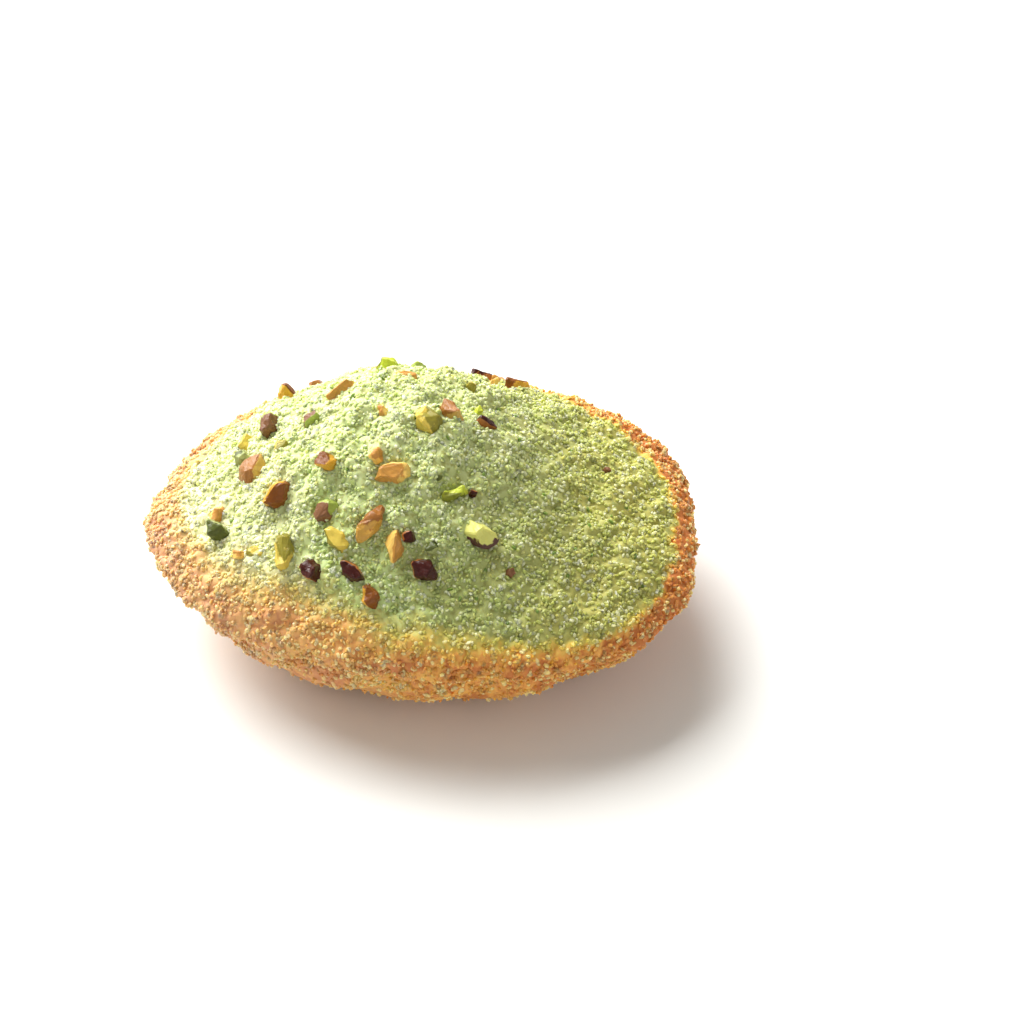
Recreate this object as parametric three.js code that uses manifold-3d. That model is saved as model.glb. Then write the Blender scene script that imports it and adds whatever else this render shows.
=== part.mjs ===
// A pistachio madeleine: one small sponge cake, baked hump side up in a scallop mould and turned out
// whole. The mould gives it the pointed end, the steep wall and the ribs that fan out underneath; the
// oven gives it the tall, slightly off-centre hump. Chopped pistachios, scattered on the raw batter,
// are baked into the crown, so the cake and its nuts are a single solid.
//
// Millimetres, +Z up. The cake lies lengthwise on X, its pointed end towards -X, and stands on the
// floor at Z = 0 with the middle of its plan at the origin.

import * as THREE from "three";
import { ConvexGeometry } from "three/addons/geometries/ConvexGeometry.js";
import { mergeVertices } from "three/addons/utils/BufferGeometryUtils.js";
import Module from "manifold-3d";

// The plan of the mould.
const LENGTH = 80;
const WIDTH = 57;
const TIP_POWER = 0.48; // how the sides open from the pointed end
const NOSE_POWER = 0.375; // how they close again round the broad end
const TIP_PINCH = 0.5; // the share that the point is narrowed by
const PINCH_REACH = 0.035; // how far that goes, as a share of the length

// The shell side, which the mould forms.
const RIM_HEIGHT = 14.5;
const BOWL_DEPTH = 15.9; // the floor cuts off what hangs below Z = 0, which leaves the flat spot
const BOWL_POWER = 2.2;
const WALL_POWER = 2.6; // how steep the wall is along the sides
const TIP_WALL_POWER = 1; // and at the pointed end, where the mould runs out
const NOSE_WALL_POWER = 1.5;
const TIP_SHALLOW = 0.36; // the share of the length that the mould deepens over
const NOSE_EASE_START = 0.5; // the station from which the wall eases towards the broad end
const RIB_PITCH = 8.5; // degrees, seen from the pointed end
const RIB_COUNT_EACH_SIDE = 8;
const GROOVE_DEPTH = 1.3;
const RIM_SCALLOP = 0.55; // how much of a groove still shows at the rim
const GROOVE_START = 4; // from the pointed end, where the grooves begin to sink in
const GROOVE_FULL = 20;

// The crown, which rises out of the mould.
const DOME_RISE = 9;
const DOME_POWER = 0.48;
const HUMP_RISE = 13.2;
const HUMP_AT = { x: -4, y: 5.5 };
const HUMP_REACH = { x: 22, y: 23 };
const HUMP_POWER = 1.35; // over 1, the hump has a broad top and steeper sides
const LUMP_SIZES = 3;
const LUMP_WAYS = 4; // the directions that each size of lump runs in
const LUMP_SPACING = 13; // of the widest lumps
const LUMP_SPACING_RATIO = 1.8; // from each size to the next one down
const LUMP_HEIGHT = 0.26;
const LUMP_HEIGHT_RATIO = 1.5;
const RIM_WAVES = [
  { turns: 3, height: 0.35, shift: 0.8 },
  { turns: 7, height: 0.21, shift: 2.1 },
]; // how unevenly the batter met the mould's edge
const RIM_WAVE_FADE = 3; // how fast the waves die out towards the middle

// How finely the surfaces are cut into faces.
const COLUMNS_PER_RIB = 6;
const TIP_COLUMN_ANGLES = [71, 74.5, 78, 82];
const CROWN_RINGS = 19;
const BOWL_ROWS = 15;
const HALVINGS = 48; // of the search for a place on the outline
const SLOPE_STEP = 0.05;

// The chopped pistachios, from the pointed end to the broad end: [x, y, length, width, turn, height].
// The turn is in degrees, seen from above, and the height is what stands out of the crumb.
const CHIPS = [
  [-29.5, -4.0, 2.8, 1.8, 55, 1.2],
  [-29.5, -6.5, 3.9, 2.6, -60, 1.8],
  [-26.5, -11.5, 1.9, 1.5, 20, 1.0],
  [-26.0, 4.0, 2.8, 1.7, 75, 1.3],
  [-25.5, 7.5, 2.8, 0.8, 55, 1.0],
  [-24.5, 1.0, 4.4, 3.2, 40, 1.8],
  [-24.0, -12.0, 3.0, 1.8, 0, 0.5],
  [-22.0, 9.0, 3.2, 2.6, 60, 2.0],
  [-21.0, -5.0, 4.2, 3.1, 50, 2.2],
  [-20.5, 3.0, 2.4, 1.8, 20, 0.4],
  [-20.0, -13.0, 5.4, 2.6, 80, 1.9],
  [-19.5, 17.0, 2.6, 2.2, 0, 2.0],
  [-16.0, -16.0, 3.7, 2.5, -65, 2.0],
  [-16.0, 5.0, 3.2, 1.7, 30, 1.1],
  [-14.0, -4.0, 3.0, 2.4, -40, 1.9],
  [-14.0, -9.5, 3.6, 2.8, 35, 1.6],
  [-12.5, -13.5, 4.0, 2.5, -60, 1.7],
  [-12.0, 9.5, 4.2, 1.3, 35, 1.2],
  [-10.5, -17.5, 3.9, 2.3, -50, 1.7],
  [-8.0, -12.5, 5.6, 2.6, 55, 2.2],
  [-8.0, -20.5, 3.4, 2.5, -60, 1.1],
  [-7.0, -4.5, 2.1, 1.7, -70, 1.1],
  [-6.0, 3.0, 1.8, 1.1, 90, 1.0],
  [-5.0, 17.5, 3.0, 1.5, 0, 1.4],
  [-4.5, -6.5, 4.8, 3.0, 10, 1.5],
  [-4.5, -15.0, 4.4, 2.4, 95, 1.9],
  [-2.5, -14.0, 2.0, 1.6, 30, 1.2],
  [-2.5, 12.5, 3.5, 1.4, 0, 0.9],
  [0.0, -17.5, 3.5, 3.1, -35, 2.2],
  [0.5, 1.0, 4.7, 3.4, -60, 1.9],
  [1.0, -15.0, 1.9, 1.7, 0, 1.0],
  [1.5, -7.0, 1.3, 1.2, 0, 0.4],
  [3.5, 2.5, 3.8, 2.2, -40, 1.6],
  [4.0, -8.5, 3.8, 1.4, 25, 1.2],
  [6.5, -8.0, 1.0, 0.9, 0, 1.0],
  [7.0, 12.0, 1.4, 0.9, -30, 0.7],
  [7.5, -13.0, 4.8, 3.0, -30, 2.2],
  [7.5, 5.0, 1.4, 1.2, 0, 0.6],
  [8.5, 3.0, 3.4, 1.3, 0, 1.0],
  [10.5, 19.0, 1.6, 1.2, 20, 1.2],
  [12.0, -16.5, 1.9, 1.3, 80, 0.5],
  [14.5, 22.0, 4.2, 1.8, 0, 1.3],
  [27.0, 5.0, 1.2, 1.1, 0, 0.6],
];

// The chips on the far side of the hump, which are scattered by chance along it.
const FAR_CHIPS = 8;
const FAR_ALONG = [-18, 14];
const FAR_OUT = [0.88, 0.95]; // as a share of the plan's half width
const FAR_LENGTH = [2.2, 4.4];
const FAR_WIDTH = [1.4, 2.8];
const FAR_HEIGHT = [0.6, 1.3];

// How a nut breaks: an uneven six-sided block that narrows upwards.
const CHIP_CORNERS = 6;
const CHIP_SPREAD = 1.35; // how far a corner lies out, at most
const CHIP_UNEVEN = 0.22; // the share of that which it may lack
const CHIP_TWIST = 0.75; // the share of a corner's own sector that it may turn by
const CHIP_TOP = 0.78; // the share of the base that the top keeps
const CHIP_TOP_DROP = 0.55; // the share of the height that a top corner may lack
const CHIP_SINK = 0.7; // how far the base lies in the crumb
const CHIP_LIFT = 0.4; // how far the loose crumb round it lies above the smooth crown
const CHIP_TILT = 9; // degrees, at most

// Where in the sequence of chance numbers each use of them starts.
const SEED = {
  lumpShift: 10,
  farX: 21,
  farY: 22,
  farLength: 23,
  farWidth: 24,
  farTurn: 25,
  farHeight: 26,
  cornerSpread: 20,
  cornerTop: 40,
  tiltX: 61,
  tiltY: 62,
};

const WELD = 1e-4; // corners closer than this are one
const DEGREE = Math.PI / 180;
const TAU = 2 * Math.PI;

// A repeatable number from 0 to 1 for each pair of whole numbers.
function chance(a, b) {
  const wave = Math.sin(a * 12.9898 + b * 78.233) * 43758.5453;
  return wave - Math.floor(wave);
}

function chanceBetween([low, high], a, b) {
  return low + (high - low) * chance(a, b);
}

function smoothStep(low, high, value) {
  const t = Math.min(Math.max((value - low) / (high - low), 0), 1);
  return t * t * (3 - 2 * t);
}

// Half the width of the plan at a station, 0 at the pointed end and 1 at the broad one.
const widest = TIP_POWER / (TIP_POWER + NOSE_POWER);
function halfWidth(station) {
  const opening = (station / widest) ** TIP_POWER;
  const closing = ((1 - station) / (1 - widest)) ** NOSE_POWER;
  const point = 1 - TIP_PINCH * Math.exp(-station / PINCH_REACH);
  return (WIDTH / 2) * opening * closing * point;
}

function insidePlan(x, y) {
  const station = x / LENGTH + 0.5;
  return station > 0 && station < 1 && Math.abs(y) < halfWidth(station);
}

// How far out a place on the plan lies: 0 in the middle and 1 on the outline.
function reach(x, y) {
  let inside = 0;
  let outside = 1;
  if (Math.hypot(x, y) < WELD) return 0;
  for (let step = 0; step < HALVINGS; step++) {
    const share = (inside + outside) / 2;
    if (insidePlan(x / share, y / share)) outside = share;
    else inside = share;
  }
  return outside;
}

// The outline's place that is seen from the pointed end at an angle from the long axis.
function outlineAt(angle) {
  let low = 0;
  let high = 1;
  const slope = Math.tan(Math.abs(angle));
  for (let step = 0; step < HALVINGS; step++) {
    const station = (low + high) / 2;
    if (halfWidth(station) > slope * station * LENGTH) low = station;
    else high = station;
  }
  const x = (low - 0.5) * LENGTH;
  return { x, y: Math.sign(angle) * halfWidth(low) };
}

// The slow unevenness of a baked crown: three sizes of gentle waves, each from four directions.
function lumps(x, y) {
  let height = 0;
  for (let size = 0; size < LUMP_SIZES; size++) {
    const spacing = LUMP_SPACING / LUMP_SPACING_RATIO ** size;
    const rise = LUMP_HEIGHT / LUMP_HEIGHT_RATIO ** size;
    for (let way = 0; way < LUMP_WAYS; way++) {
      const turn = TAU * chance(size, way);
      const along = x * Math.cos(turn) + y * Math.sin(turn);
      const shift = TAU * chance(size + SEED.lumpShift, way);
      height += rise * Math.sin((TAU * along) / spacing + shift);
    }
  }
  return height;
}

// The height of the mould's edge, with a little unevenness that fades away inside the cake.
function rimHeight(x, y, out) {
  const around = Math.atan2(y, x);
  let wave = 0;
  for (const { turns, height, shift } of RIM_WAVES) {
    wave += height * Math.sin(turns * around + shift);
  }
  return RIM_HEIGHT + wave * out ** RIM_WAVE_FADE;
}

function crownHeight(x, y, out) {
  const room = Math.max(1 - out * out, 0);
  const dx = (x - HUMP_AT.x) / HUMP_REACH.x;
  const dy = (y - HUMP_AT.y) / HUMP_REACH.y;
  const hump = HUMP_RISE * Math.exp(-((dx * dx + dy * dy) ** HUMP_POWER)) * Math.sqrt(room);
  const dome = DOME_RISE * room ** DOME_POWER;
  return rimHeight(x, y, out) + dome + hump + lumps(x, y) * Math.sqrt(room);
}

function bowlHeight(x, y) {
  const out = reach(x, y);
  const station = Math.min(Math.max(x / LENGTH + 0.5, 0), 1);
  const deepened = Math.sqrt(Math.sin((Math.PI / 2) * Math.min(station / TIP_SHALLOW, 1)));
  const eased = (WALL_POWER - NOSE_WALL_POWER) * smoothStep(NOSE_EASE_START, 1, station);
  const wall = TIP_WALL_POWER + (WALL_POWER - TIP_WALL_POWER) * deepened - eased;
  const bowl = Math.max(1 - out ** BOWL_POWER, 0) ** (1 / wall);
  return rimHeight(x, y, out) - BOWL_DEPTH * deepened * bowl;
}

// How deep the groove between two ribs is here, from 0 on a rib to 1 in a groove.
function groove(x, y) {
  const fromTip = Math.hypot(x + LENGTH / 2, y);
  const angle = Math.abs(Math.atan2(y, x + LENGTH / 2)) / DEGREE;
  const ridge = Math.abs(Math.cos((Math.PI * angle) / RIB_PITCH));
  const ribbed = 1 - smoothStep(RIB_PITCH * (RIB_COUNT_EACH_SIDE - 1), RIB_PITCH * RIB_COUNT_EACH_SIDE, angle);
  return (1 - ridge) * ribbed * smoothStep(GROOVE_START, GROOVE_FULL, fromTip);
}

// The direction at right angles to a surface, on its upper side.
function upward(heightAt, x, y) {
  const slopeX = (heightAt(x + SLOPE_STEP, y) - heightAt(x - SLOPE_STEP, y)) / (2 * SLOPE_STEP);
  const slopeY = (heightAt(x, y + SLOPE_STEP) - heightAt(x, y - SLOPE_STEP)) / (2 * SLOPE_STEP);
  return new THREE.Vector3(-slopeX, -slopeY, 1).normalize();
}

// A place on the shell side, with the grooves pressed into it at right angles to the bowl.
function shellPoint(x, y) {
  const outward = upward(bowlHeight, x, y).negate();
  const place = new THREE.Vector3(x, y, bowlHeight(x, y));
  place.addScaledVector(outward, -GROOVE_DEPTH * groove(x, y));
  place.z = Math.max(place.z, 0);
  return place;
}

function rimPoint(outlinePlace) {
  const { x, y } = outlinePlace;
  const inward = 1 - (RIM_SCALLOP * GROOVE_DEPTH * groove(x, y)) / Math.hypot(x, y);
  return new THREE.Vector3(x * inward, y * inward, rimHeight(x, y, 1));
}

// The rim, counterclockwise from the pointed end round to itself: each rib has the same columns.
function rimPlaces() {
  const angles = [...TIP_COLUMN_ANGLES].reverse();
  const columns = COLUMNS_PER_RIB * RIB_COUNT_EACH_SIDE;
  for (let column = columns; column > 0; column--) {
    angles.push((RIB_PITCH * column) / COLUMNS_PER_RIB);
  }
  const right = angles.map((angle) => outlineAt(-angle * DEGREE));
  const left = angles.map((angle) => outlineAt(angle * DEGREE)).reverse();
  return [...right, { x: LENGTH / 2, y: 0 }, ...left];
}

// The body: the crown's rings run in from the rim to a pole, and the shell's rows run from the
// pointed end out along the fan to the same rim.
function cakeGeometry() {
  const vertices = [];
  const faces = [];
  const add = (place) => vertices.push(place) - 1;
  const outline = rimPlaces();
  const count = outline.length;
  const tip = add(new THREE.Vector3(-LENGTH / 2, 0, rimHeight(-LENGTH / 2, 0, 1)));
  const rim = outline.map((place) => add(rimPoint(place)));

  let ring = [tip, ...rim];
  const ringPlaces = [{ x: -LENGTH / 2, y: 0 }, ...outline];
  for (let step = 1; step < CROWN_RINGS; step++) {
    const out = Math.cos((step / CROWN_RINGS) * (Math.PI / 2)); // the rings crowd towards the rim
    const next = ringPlaces.map(({ x, y }) =>
      add(new THREE.Vector3(x * out, y * out, crownHeight(x * out, y * out, out))),
    );
    for (let k = 0; k < ring.length; k++) {
      const after = (k + 1) % ring.length;
      faces.push([ring[k], ring[after], next[after]], [ring[k], next[after], next[k]]);
    }
    ring = next;
  }
  const pole = add(new THREE.Vector3(0, 0, crownHeight(0, 0, 0)));
  for (let k = 0; k < ring.length; k++) {
    faces.push([ring[k], ring[(k + 1) % ring.length], pole]);
  }

  const rows = outline.map((place, k) => {
    const line = [];
    for (let row = 1; row < BOWL_ROWS; row++) {
      const share = 0.5 - 0.5 * Math.cos((Math.PI * row) / BOWL_ROWS);
      const x = -LENGTH / 2 + (place.x + LENGTH / 2) * share;
      line.push(add(shellPoint(x, place.y * share)));
    }
    return [...line, rim[k]];
  });
  for (let k = 0; k + 1 < count; k++) {
    const here = rows[k];
    const after = rows[k + 1];
    faces.push([tip, after[0], here[0]]);
    for (let row = 0; row + 1 < BOWL_ROWS; row++) {
      faces.push([here[row], after[row], after[row + 1]], [here[row], after[row + 1], here[row + 1]]);
    }
  }
  // The last sliver of wall on either side of the point.
  for (let row = 0; row + 1 < BOWL_ROWS - 1; row++) {
    const first = rows[0];
    const last = rows[count - 1];
    faces.push([rim[0], first[row], first[row + 1]]);
    faces.push([rim[count - 1], last[row + 1], last[row]]);
  }
  faces.push([rim[0], tip, rows[0][0]], [rim[count - 1], rows[count - 1][0], tip]);
  return geometryOf(vertices, faces);
}

function geometryOf(vertices, faces) {
  const geometry = new THREE.BufferGeometry();
  const position = new Float32Array(vertices.flatMap((v) => [v.x, v.y, v.z]));
  geometry.setAttribute("position", new THREE.BufferAttribute(position, 3));
  geometry.setIndex(faces.flat());
  return geometry;
}

const wasm = await Module();
wasm.setup();

function solidOf(geometry) {
  const bare = geometry.clone();
  bare.deleteAttribute("normal");
  bare.deleteAttribute("uv");
  const merged = mergeVertices(bare, WELD);
  return new wasm.Manifold(
    new wasm.Mesh({
      numProp: 3,
      vertProperties: new Float32Array(merged.attributes.position.array),
      triVerts: new Uint32Array(merged.index.array),
    }),
  );
}

// The far side's chips, in the same terms as the list.
function farChips() {
  const chips = [];
  for (let k = 0; k < FAR_CHIPS; k++) {
    // Each chip keeps to its own strip, so that no two of them meet.
    const [low, high] = FAR_ALONG;
    const x = low + ((high - low) * (k + chance(k, SEED.farX))) / FAR_CHIPS;
    const y = halfWidth(x / LENGTH + 0.5) * chanceBetween(FAR_OUT, k, SEED.farY);
    const length = chanceBetween(FAR_LENGTH, k, SEED.farLength);
    const width = chanceBetween(FAR_WIDTH, k, SEED.farWidth);
    const turn = 180 * chance(k, SEED.farTurn);
    const height = chanceBetween(FAR_HEIGHT, k, SEED.farHeight);
    chips.push([x, y, length, width, turn, height]);
  }
  return chips;
}

// One broken nut, with its flat base in the crumb and its axis square to the crown.
function chipGeometry([x, y, length, width, turn, height], k) {
  const corners = [];
  for (let level = 0; level < 2; level++) {
    for (let corner = 0; corner < CHIP_CORNERS; corner++) {
      const seed = level * CHIP_CORNERS + corner;
      const around = (TAU * (corner + CHIP_TWIST * chance(k, seed))) / CHIP_CORNERS;
      const spread = CHIP_SPREAD * (1 - CHIP_UNEVEN * chance(k, seed + SEED.cornerSpread));
      const size = spread * (level ? CHIP_TOP : 1);
      const top = CHIP_LIFT + height * (1 - CHIP_TOP_DROP * chance(k, seed + SEED.cornerTop));
      corners.push(
        new THREE.Vector3(
          (length / 2) * size * Math.cos(around),
          (width / 2) * size * Math.sin(around),
          level ? top : -CHIP_SINK,
        ),
      );
    }
  }
  const geometry = new ConvexGeometry(corners);
  geometry.rotateX(CHIP_TILT * DEGREE * (2 * chance(k, SEED.tiltX) - 1));
  geometry.rotateY(CHIP_TILT * DEGREE * (2 * chance(k, SEED.tiltY) - 1));
  geometry.rotateZ(turn * DEGREE);
  const crownAt = (px, py) => crownHeight(px, py, reach(px, py));
  const up = new THREE.Vector3(0, 0, 1);
  geometry.applyQuaternion(new THREE.Quaternion().setFromUnitVectors(up, upward(crownAt, x, y)));
  geometry.translate(x, y, crownAt(x, y));
  return geometry;
}

let cake = solidOf(cakeGeometry());
[...CHIPS, ...farChips()].forEach((chip, k) => {
  cake = cake.add(solidOf(chipGeometry(chip, k)));
});

const joined = cake.getMesh();
const geometry = new THREE.BufferGeometry();
geometry.setAttribute("position", new THREE.BufferAttribute(new Float32Array(joined.vertProperties), 3));
geometry.setIndex(new THREE.BufferAttribute(new Uint32Array(joined.triVerts), 1));

const sponge = new THREE.MeshStandardMaterial({ color: 0xb9c088, roughness: 0.9, metalness: 0 });
const madeleine = new THREE.Mesh(geometry, sponge);
madeleine.name = "madeleine";

const group = new THREE.Group();
group.add(madeleine);
export default group;
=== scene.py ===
import math

import bmesh
import bpy
import numpy as np
from mathutils import Matrix, Vector, noise


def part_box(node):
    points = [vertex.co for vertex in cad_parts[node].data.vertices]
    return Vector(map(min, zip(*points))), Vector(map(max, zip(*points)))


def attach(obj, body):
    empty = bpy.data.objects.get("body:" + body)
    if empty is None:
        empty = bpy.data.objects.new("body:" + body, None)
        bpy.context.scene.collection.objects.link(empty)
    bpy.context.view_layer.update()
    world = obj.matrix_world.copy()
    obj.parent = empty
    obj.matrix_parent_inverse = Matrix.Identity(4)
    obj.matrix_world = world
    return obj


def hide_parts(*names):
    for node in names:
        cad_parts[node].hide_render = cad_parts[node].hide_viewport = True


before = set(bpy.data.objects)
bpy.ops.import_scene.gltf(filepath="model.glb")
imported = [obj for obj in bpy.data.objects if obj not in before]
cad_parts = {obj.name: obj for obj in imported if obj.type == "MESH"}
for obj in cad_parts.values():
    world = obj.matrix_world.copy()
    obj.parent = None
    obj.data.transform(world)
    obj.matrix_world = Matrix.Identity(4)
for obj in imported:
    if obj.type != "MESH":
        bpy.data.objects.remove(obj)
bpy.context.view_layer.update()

# The camera
# It looks down on the cake's long side through a long lens, a little from the left and slightly
# rolled, at the angle that the photograph has to the cake.
mm = 0.001
IMAGE_SIZE = 1025
FOCAL_PIXELS = 3900
LOOK_DOWN = math.radians(47)
SWING = math.radians(-4.94)
ROLL = math.radians(4)
DISTANCE = 571.4 * mm
AIM_AT = Vector((0, 0, 14.5 * mm))
SLIDE_RIGHT = 13.35 * mm
SLIDE_UP = 2.59 * mm

camera_data = bpy.data.cameras.new("camera")
camera_data.sensor_width = 36
camera_data.lens = camera_data.sensor_width * FOCAL_PIXELS / IMAGE_SIZE
camera_data.clip_start = 0.01
camera = bpy.data.objects.new("camera", camera_data)
bpy.context.scene.collection.objects.link(camera)
backward = Vector((
    math.sin(SWING) * math.cos(LOOK_DOWN),
    -math.cos(SWING) * math.cos(LOOK_DOWN),
    math.sin(LOOK_DOWN),
))
level = Vector((math.cos(SWING), math.sin(SWING), 0))
rise = backward.cross(level)
rightward = math.cos(ROLL) * level + math.sin(ROLL) * rise
upward = math.cos(ROLL) * rise - math.sin(ROLL) * level
place = AIM_AT + DISTANCE * backward + SLIDE_RIGHT * rightward + SLIDE_UP * upward
turn = Matrix((rightward, upward, backward)).transposed()
camera.matrix_world = Matrix.Translation(place) @ turn.to_4x4()
bpy.context.scene.camera = camera


# The sponge
# One piece of pale green pistachio sponge, baked in a scallop mould. The mould forms the pointed end,
# the steep wall and the ribs that fan out underneath, and the oven raises the hump. The batter is
# coarse, so the whole crown is pebbly, and the rim and the shell side are browned.
cake_low, cake_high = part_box("madeleine")
TIP, LOWEST = cake_low[0], cake_low[2]
LENGTH = (cake_high[0] - TIP) / mm
WIDTH = 57
TIP_POWER = 0.48
NOSE_POWER = 0.375
TIP_PINCH = 0.5
PINCH_REACH = 0.035
RIM_HEIGHT = 14.5
BOWL_DEPTH = 15.9
BOWL_POWER = 2.2
WALL_POWER = 2.6
TIP_WALL_POWER = 1
NOSE_WALL_POWER = 1.5
TIP_SHALLOW = 0.36
NOSE_EASE_START = 0.5
RIB_PITCH = 8.5
RIB_COUNT_EACH_SIDE = 8
GROOVE_DEPTH = 1.3
GROOVE_START = 4
GROOVE_FULL = 20
RIM_SCALLOP = 0.55
DOME_RISE = 9
DOME_POWER = 0.48
HUMP_RISE = 13.2
HUMP_AT = (-4, 5.5)
HUMP_REACH = (22, 23)
HUMP_POWER = 1.35
LUMP_SIZES = 3
LUMP_WAYS = 4
LUMP_SPACING = 13
LUMP_SPACING_RATIO = 1.8
LUMP_HEIGHT = 0.26
LUMP_HEIGHT_RATIO = 1.5
# Each wave of the rim is its number of crests all round, its height and its shift.
RIM_WAVES = ((3, 0.35, 0.8), (7, 0.21, 2.1))
RIM_WAVE_FADE = 3
RINGS = 108
WALK_STEPS = 4000
WALK_CROWDING = 3
HALVINGS = 48
FURTHEST_OUT = 1.5
TINY = 1e-9
LUMP_SHIFT_SEED = 10
TAU = 2 * math.pi


def chance(a, b):
    """A repeatable number from 0 to 1 for each pair of whole numbers."""
    wave = np.sin(a * 12.9898 + b * 78.233) * 43758.5453
    return wave - np.floor(wave)


def smooth_step(low, high, value):
    """A share that eases from 0 to 1 as a value goes from low to high."""
    t = np.clip((value - low) / (high - low), 0, 1)
    return t * t * (3 - 2 * t)


def half_width(station):
    """Half the plan's width at a station, which is 0 at the pointed end and 1 at the broad one."""
    station = np.clip(station, TINY, 1 - TINY)
    widest = TIP_POWER / (TIP_POWER + NOSE_POWER)
    opening = (station / widest) ** TIP_POWER
    closing = ((1 - station) / (1 - widest)) ** NOSE_POWER
    return WIDTH / 2 * opening * closing * (1 - TIP_PINCH * np.exp(-station / PINCH_REACH))


def reach(x, y):
    """How far out a place on the plan lies: 0 in the middle and 1 on the outline."""
    x, y = np.broadcast_arrays(np.asarray(x, float), np.asarray(y, float))
    inside, outside = np.zeros(x.shape), np.full(x.shape, FURTHEST_OUT)
    for _ in range(HALVINGS):
        share = (inside + outside) / 2
        station = x / share / LENGTH + 0.5
        within = (station > 0) & (station < 1) & (np.abs(y / share) < half_width(station))
        outside = np.where(within, share, outside)
        inside = np.where(within, inside, share)
    return outside


def lumps(x, y):
    """The slow unevenness of a baked crown: three sizes of gentle waves from four directions."""
    height = 0
    for size in range(LUMP_SIZES):
        spacing = LUMP_SPACING / LUMP_SPACING_RATIO ** size
        for way in range(LUMP_WAYS):
            turned = TAU * chance(size, way)
            along = x * np.cos(turned) + y * np.sin(turned)
            wave = np.sin(TAU * along / spacing + TAU * chance(size + LUMP_SHIFT_SEED, way))
            height = height + LUMP_HEIGHT / LUMP_HEIGHT_RATIO ** size * wave
    return height


def rim_height(x, y, out):
    """The rim's height, which waves a little, carried inward to any place."""
    around = np.arctan2(y, x)
    wave = sum(height * np.sin(turns * around + shift) for turns, height, shift in RIM_WAVES)
    return RIM_HEIGHT + wave * out ** RIM_WAVE_FADE


def crown_height(x, y, out):
    """The baked top: the rim, a dome over it, and the hump with its lumps."""
    room = np.clip(1 - out * out, 0, 1)
    dx, dy = (x - HUMP_AT[0]) / HUMP_REACH[0], (y - HUMP_AT[1]) / HUMP_REACH[1]
    hump = HUMP_RISE * np.exp(-((dx * dx + dy * dy) ** HUMP_POWER)) + lumps(x, y)
    return rim_height(x, y, out) + DOME_RISE * room ** DOME_POWER + hump * np.sqrt(room)


def bowl_height(x, y, out):
    """The moulded side: shallow at the point, steep along the sides and eased at the broad end."""
    station = np.clip(x / LENGTH + 0.5, 0, 1)
    deepened = np.sqrt(np.sin(math.pi / 2 * np.minimum(station / TIP_SHALLOW, 1)))
    eased = (WALL_POWER - NOSE_WALL_POWER) * smooth_step(NOSE_EASE_START, 1, station)
    wall = TIP_WALL_POWER + (WALL_POWER - TIP_WALL_POWER) * deepened - eased
    bowl = np.clip(1 - out ** BOWL_POWER, 0, 1) ** (1 / wall)
    return np.maximum(rim_height(x, y, out) - BOWL_DEPTH * deepened * bowl, 0)


def even_rings(rise_at):
    """Shares from the middle to the rim that are evenly spaced along the surface."""
    out = 1 - np.linspace(1, 0, WALK_STEPS) ** WALK_CROWDING
    steps = np.hypot(np.diff(out) * (LENGTH + WIDTH) / 4, np.diff(rise_at(out)))
    walked = np.concatenate([[0], np.cumsum(steps)])
    return np.interp(np.linspace(0, walked[-1], RINGS + 1), walked, out)


def square_in_disc():
    """A square grid bent into a disc: each place's ring, and the direction that it lies in."""
    i, j = np.meshgrid(np.arange(-RINGS, RINGS + 1), np.arange(-RINGS, RINGS + 1), indexing="ij")
    ring = np.maximum(np.abs(i), np.abs(j))
    safe = np.maximum(ring, 1)
    sideways = np.abs(i) >= np.abs(j)
    turned = np.where(
        sideways,
        np.where(i >= 0, 0, math.pi) + math.pi / 4 * np.where(i >= 0, j, -j) / safe,
        np.where(j >= 0, math.pi / 2, -math.pi / 2) + math.pi / 4 * np.where(j >= 0, -i, i) / safe,
    )
    return ring, turned


def outline_towards(turned):
    """The outline's place in a direction, which is turned by less where the plan is narrow."""
    x, y = LENGTH / 2 * np.cos(turned), WIDTH / 2 * np.sin(turned)
    far = reach(x, y)
    return x / far, y / far


ring, turned = square_in_disc()
edge_x, edge_y = outline_towards(turned)
side = 2 * RINGS + 1
crown_out = even_rings(lambda out: DOME_RISE * np.clip(1 - out * out, 0, 1) ** DOME_POWER)[ring]
bowl_out = even_rings(
    lambda out: BOWL_DEPTH * np.clip(1 - out ** BOWL_POWER, 0, 1) ** (1 / WALL_POWER)
)[ring]


def sheet_points(out, height_at):
    """The places of one bent grid, a row for each of its vertices."""
    x, y = edge_x * out, edge_y * out
    return np.stack([x, y, height_at(x, y, out)], axis=-1).reshape(-1, 3)


# The crown and the bowl are two bent grids that share the rim's vertices.
on_rim = (ring == RINGS).ravel()
crown_number = np.arange(side * side)
bowl_number = np.where(on_rim, crown_number, side * side + np.cumsum(~on_rim) - 1)
points = np.concatenate([
    sheet_points(crown_out, crown_height),
    sheet_points(bowl_out, bowl_height)[~on_rim],
])


def grid_faces(number, flipped):
    """The grid's square faces, turned over for the side that faces down."""
    n = number.reshape(side, side)
    corners = [n[:-1, :-1], n[1:, :-1], n[1:, 1:], n[:-1, 1:]]
    quads = np.stack(corners[::-1] if flipped else corners, axis=-1)
    return quads.reshape(-1, 4)


faces = np.concatenate([grid_faces(crown_number, False), grid_faces(bowl_number, True)])

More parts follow.
